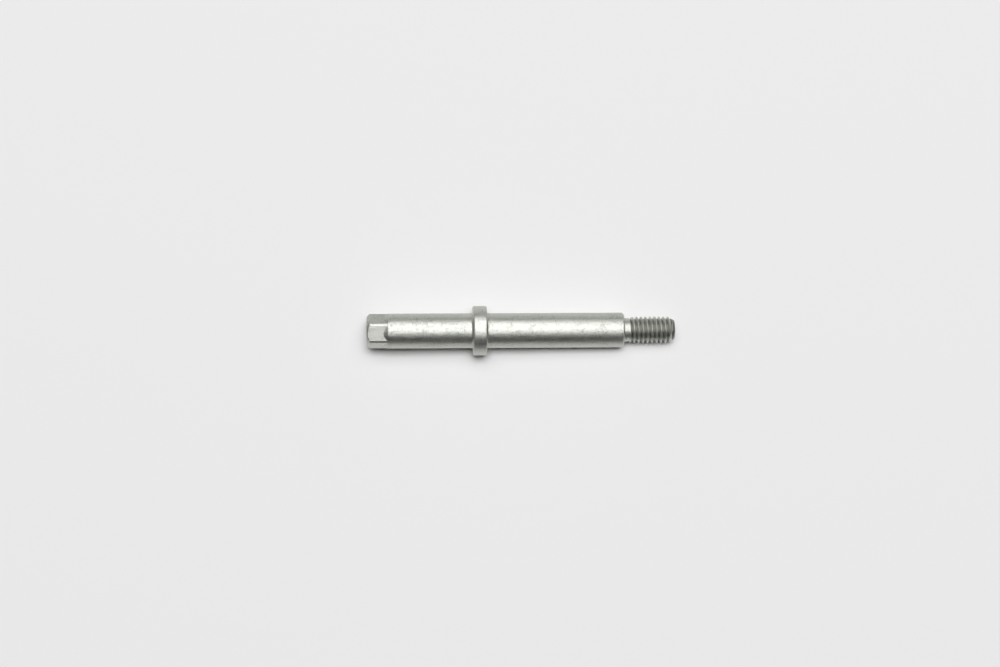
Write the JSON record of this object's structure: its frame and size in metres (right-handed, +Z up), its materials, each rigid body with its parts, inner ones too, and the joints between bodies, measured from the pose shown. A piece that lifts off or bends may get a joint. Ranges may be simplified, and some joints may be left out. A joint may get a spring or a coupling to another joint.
{
  "type": "turned spindle",
  "caption": "Turned steel spindle lying on its side, with a hexagonal drive end, plain shank, round collar, plain journal, neck and tapered external thread.",
  "frame": {"origin": "under the middle of the spindle's length and width, on the surface it lies on", "axes": "+X from the hexagonal end toward the threaded end, +Z up; the axis slopes down to the thread because the part rests on its collar and its shoulder"},
  "size_m": [0.0686, 0.011, 0.0111],
  "materials": {
    "steel": "satin, tumbled and plated"
  },
  "bodies": {
    "root": {"spindle": "steel"}
  },
  "joints": []
}
